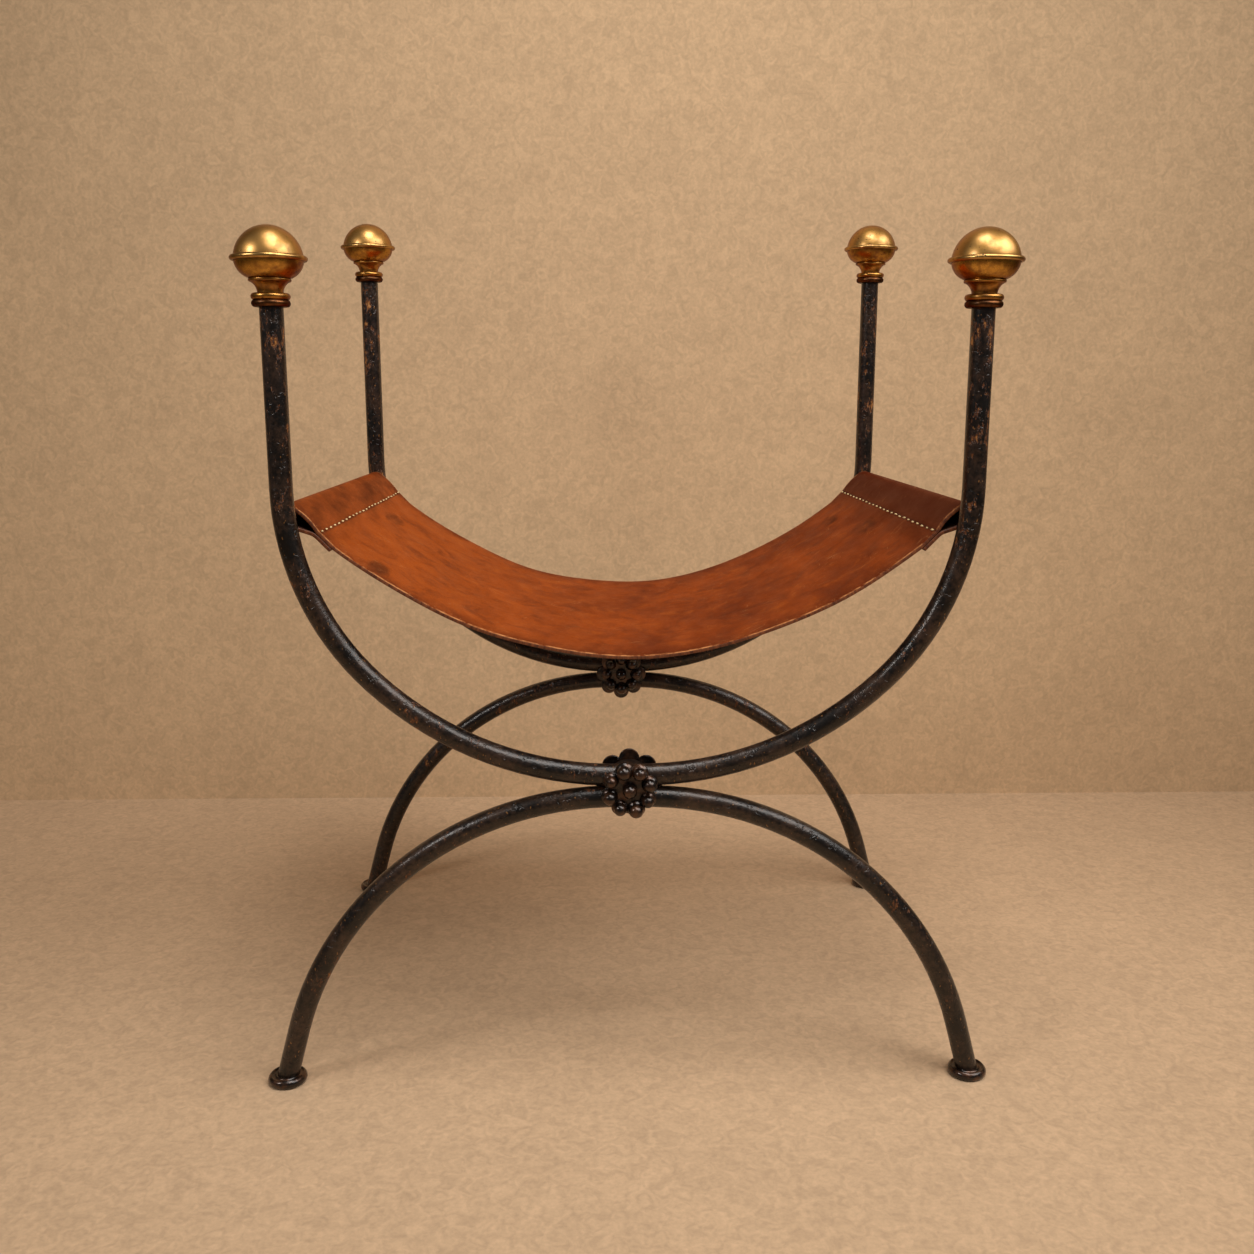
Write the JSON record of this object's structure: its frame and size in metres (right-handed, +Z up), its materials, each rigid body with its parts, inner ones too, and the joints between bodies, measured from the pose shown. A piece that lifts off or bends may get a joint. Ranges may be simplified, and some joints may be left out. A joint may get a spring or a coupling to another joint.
{
  "type": "savonarola stool",
  "caption": "Folding curule stool: crossed bent-bar side frames pivoting at petalled ball rosettes, brass ball finials, and a stitched leather sling seat on two rails.",
  "frame": {"origin": "on the floor under the middle of the seat", "axes": "+Z up, +Y to the back (the side with the taller posts), +X to the right as seen from the front"},
  "size_m": [0.6462, 0.49, 0.7906],
  "materials": {
    "frame_iron": "forged black bar, worn to a soft sheen, rust in small chips",
    "rail_iron": "forged black bar",
    "rosette_iron": "dark browned iron with small worn highlights",
    "foot_iron": "dark browned iron",
    "collar_metal": "dark browned metal",
    "fastener_steel": "plain steel",
    "neck_brass": "aged brass, brown in the hollows",
    "ball_brass": "aged brass with dark specks",
    "bead_brass": "aged brass, rubbed",
    "leather": "waxed russet leather, darker at the hems",
    "thread": "waxed cream thread"
  },
  "bodies": {
    "frame_a": {"front_bar_a": "frame_iron", "rear_bar_a": "frame_iron", "left_seat_rail": "rail_iron", "leather_sling": "leather", "left_seam_thread": "thread", "front_right_foot": "foot_iron", "rear_right_foot": "foot_iron", "front_outer_rosette": "rosette_iron", "rear_outer_rosette": "rosette_iron", "front_outer_balls": "rosette_iron", "rear_outer_balls": "rosette_iron", "front_pivot_pin": "rosette_iron", "rear_pivot_pin": "rosette_iron", "front_pin_cap": "rosette_iron", "rear_pin_cap": "rosette_iron", "front_left_collar": "collar_metal", "front_left_neck": "neck_brass", "front_left_bowl": "ball_brass", "front_left_bead": "bead_brass", "front_left_dome": "ball_brass", "rear_left_collar": "collar_metal", "rear_left_neck": "neck_brass", "rear_left_bowl": "ball_brass", "rear_left_bead": "bead_brass", "rear_left_dome": "ball_brass", "left_finial_studs": "fastener_steel", "left_finial_nuts": "fastener_steel"},
    "frame_b": {"front_bar_b": "frame_iron", "rear_bar_b": "frame_iron", "right_seat_rail": "rail_iron", "right_seam_thread": "thread", "front_left_foot": "foot_iron", "rear_left_foot": "foot_iron", "front_inner_rosette": "rosette_iron", "rear_inner_rosette": "rosette_iron", "front_inner_balls": "rosette_iron", "rear_inner_balls": "rosette_iron", "front_right_collar": "collar_metal", "front_right_neck": "neck_brass", "front_right_bowl": "ball_brass", "front_right_bead": "bead_brass", "front_right_dome": "ball_brass", "rear_right_collar": "collar_metal", "rear_right_neck": "neck_brass", "rear_right_bowl": "ball_brass", "rear_right_bead": "bead_brass", "rear_right_dome": "ball_brass", "right_finial_studs": "fastener_steel", "right_finial_nuts": "fastener_steel"}
  },
  "joints": [
    {"name": "frame_fold", "type": "hinge", "parent": "frame_a", "child": "frame_b", "pos_m": [0, 0, 0.275], "axis": [0, -1, 0], "range_deg": [0, 47], "deforming": ["leather_sling"]}
  ]
}
